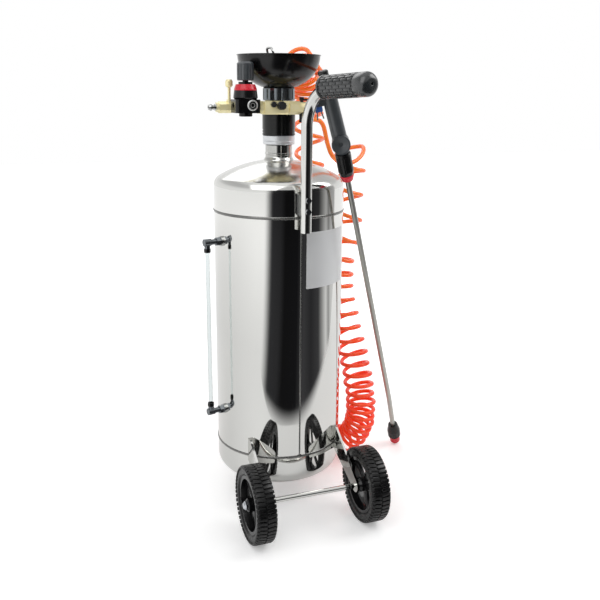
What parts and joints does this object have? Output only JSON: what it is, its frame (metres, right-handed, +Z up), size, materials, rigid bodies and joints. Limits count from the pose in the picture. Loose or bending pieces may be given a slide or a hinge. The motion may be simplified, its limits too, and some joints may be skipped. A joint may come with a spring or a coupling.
{
  "type": "wheeled sprayer cart",
  "caption": "Upright stainless pressure sprayer on two wheels, with a funnel, air regulator, curly hose and a spray lance leaning beside its handle.",
  "frame": {"origin": "middle of the front foot pad's underside, on the floor", "axes": "+Z up along the tank's axis, -Y towards the wheels and the grip, +X to the side that the lance and hose stand on"},
  "size_m": [0.4723, 0.4545, 0.8482],
  "materials": {
    "polished_steel": "mirror polished",
    "steel": "satin",
    "chrome": "polished",
    "brass": "machined",
    "black_plastic": "satin",
    "gloss_black": "glossy",
    "red_plastic": "glossy",
    "blue_plastic": "glossy",
    "clear_tube": "clear",
    "orange_hose": "translucent",
    "rubber": "matt",
    "tyre_black": "matt",
    "foil": "satin"
  },
  "bodies": {
    "cart": {"tank_shell": "polished_steel", "upper_head": "polished_steel", "lower_head": "polished_steel", "neck_tube": "polished_steel", "neck_gasket": "rubber", "neck_ring": "steel", "valve_sleeve": "gloss_black", "dip_tube": "steel", "head_block": "brass", "collar_nut": "black_plastic", "funnel": "gloss_black", "manifold_bar": "brass", "regulator_nipple": "brass", "regulator_body": "gloss_black", "regulator_port_rings": "chrome", "regulator_bonnet": "gloss_black", "regulator_lock_ring": "red_plastic", "inlet_nipple": "brass", "inlet_tee": "brass", "inlet_plug": "steel", "outlet_hex": "brass", "outlet_elbow": "black_plastic", "handle_tube": "polished_steel", "handle_bracket": "steel", "handle_bolts": "chrome", "grip": "rubber", "label_plate": "foil", "gauge_bosses": "steel", "gauge_elbows": "chrome", "gauge_nuts": "gloss_black", "gauge_glass": "clear_tube", "wheel_straps": "steel", "axle": "polished_steel", "axle_caps": "chrome", "axle_washers": "steel", "front_foot": "steel", "foot_pad": "rubber", "hose": "orange_hose"},
    "left_wheel": {"left_rim": "black_plastic", "left_tyre": "tyre_black"},
    "right_wheel": {"right_rim": "black_plastic", "right_tyre": "tyre_black"},
    "pressure_knob": {"regulator_knob": "gloss_black"},
    "relief": {"relief_valve": "brass"},
    "outlet_tap": {"outlet_lever": "black_plastic"},
    "mix_valve": {"mix_knob": "black_plastic"},
    "bleed_valve": {"bleed_knob": "black_plastic"},
    "plug": {"filler_plug": "black_plastic"},
    "bail": {"filler_bail": "steel"},
    "gun": {"gun_body": "gloss_black", "gun_cap": "gloss_black", "lance_nut": "gloss_black", "lance_ring": "red_plastic", "lance_tube": "polished_steel", "nozzle_body": "gloss_black", "gun_inlet": "black_plastic", "trigger_pin": "steel"},
    "trigger_lever": {"trigger": "blue_plastic", "trigger_wires": "steel"},
    "spray_tip": {"nozzle_tip": "red_plastic"}
  },
  "joints": [
    {"name": "left_wheel_spin", "type": "hinge", "parent": "cart", "child": "left_wheel", "pos_m": [-0.107, -0.304, 0.07], "axis": [1, 0, 0], "continuous": true},
    {"name": "right_wheel_spin", "type": "hinge", "parent": "cart", "child": "right_wheel", "pos_m": [0.107, -0.304, 0.07], "axis": [1, 0, 0], "continuous": true},
    {"name": "pressure_knob_turn", "type": "hinge", "parent": "cart", "child": "pressure_knob", "pos_m": [-0.075, -0.1605, 0.806], "axis": [0, 0, 1], "range_deg": [0, 1080]},
    {"name": "relief_pull", "type": "slide", "parent": "cart", "child": "relief", "axis": [0, 0, 1], "range_m": [0, 0.003], "stiffness_N_per_m": 800, "springref_m": -0.002},
    {"name": "outlet_tap_turn", "type": "hinge", "parent": "cart", "child": "outlet_tap", "pos_m": [0.028, -0.1605, 0.758], "axis": [0, 0, -1], "range_deg": [0, 90]},
    {"name": "mix_valve_turn", "type": "hinge", "parent": "cart", "child": "mix_valve", "pos_m": [-0.016, -0.1715, 0.7485], "axis": [0, -1, 0], "range_deg": [0, 720]},
    {"name": "bleed_valve_turn", "type": "hinge", "parent": "cart", "child": "bleed_valve", "pos_m": [-0.029, -0.1715, 0.7505], "axis": [0, -1, 0], "range_deg": [0, 720]},
    {"name": "plug_lift", "type": "slide", "parent": "cart", "child": "plug", "axis": [0, 0, 1], "range_m": [0, 0.04]},
    {"name": "bail_swing", "type": "hinge", "parent": "plug", "child": "bail", "pos_m": [0, -0.118, 0.795], "axis": [0, 1, 0], "range_deg": [-50, 90]},
    {"name": "gun_lift_off", "type": "slide", "parent": "cart", "child": "gun", "axis": [0.9341, -0.357, 0], "range_m": [0, 0.06]},
    {"name": "trigger_squeeze", "type": "hinge", "parent": "gun", "child": "trigger_lever", "pos_m": [0.0199, -0.25927, 0.7547], "axis": [-0.3503, -0.9165, -0.1933], "range_deg": [0, 8], "stiffness_Nm_per_rad": 0.6, "springref_deg": -6.88},
    {"name": "tip_turn", "type": "hinge", "parent": "gun", "child": "spray_tip", "pos_m": [0.3103, -0.0371, 0.0042], "axis": [-0.3228, -0.3491, 0.8797], "range_deg": [0, 90]}
  ]
}
